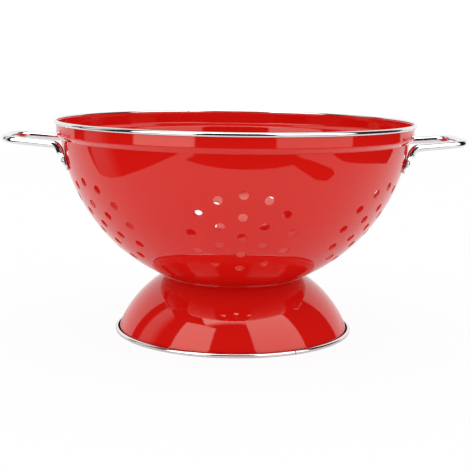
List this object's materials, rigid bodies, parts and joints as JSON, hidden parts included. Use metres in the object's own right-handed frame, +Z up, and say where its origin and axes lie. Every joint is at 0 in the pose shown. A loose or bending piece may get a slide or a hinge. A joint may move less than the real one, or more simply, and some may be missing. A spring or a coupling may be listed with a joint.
{
  "type": "footed colander",
  "caption": "Deep round footed colander: perforated enamelled steel bowl on a flared pedestal, rolled steel rim and foot beads, and bent rod side handles.",
  "frame": {"origin": "centre of the footprint, on the surface that the foot bead stands on", "axes": "+Z up along the bowl's axis, +X through the middle of the right handle, +Y away from the viewer"},
  "size_m": [0.37, 0.29, 0.1718],
  "materials": {
    "red_enamel": "glossy red powder coat on pressed carbon steel",
    "bead_steel": "bright polished rolled stainless strip",
    "handle_chrome": "bright chrome plate on steel rod",
    "rivet_steel": "polished steel rivets"
  },
  "bodies": {
    "root": {"bowl": "red_enamel", "foot": "red_enamel", "rim_bead": "bead_steel", "foot_bead": "bead_steel", "handle_right": "handle_chrome", "handle_left": "handle_chrome", "rivet_right_front": "rivet_steel", "rivet_right_back": "rivet_steel", "rivet_left_front": "rivet_steel", "rivet_left_back": "rivet_steel"}
  },
  "joints": []
}
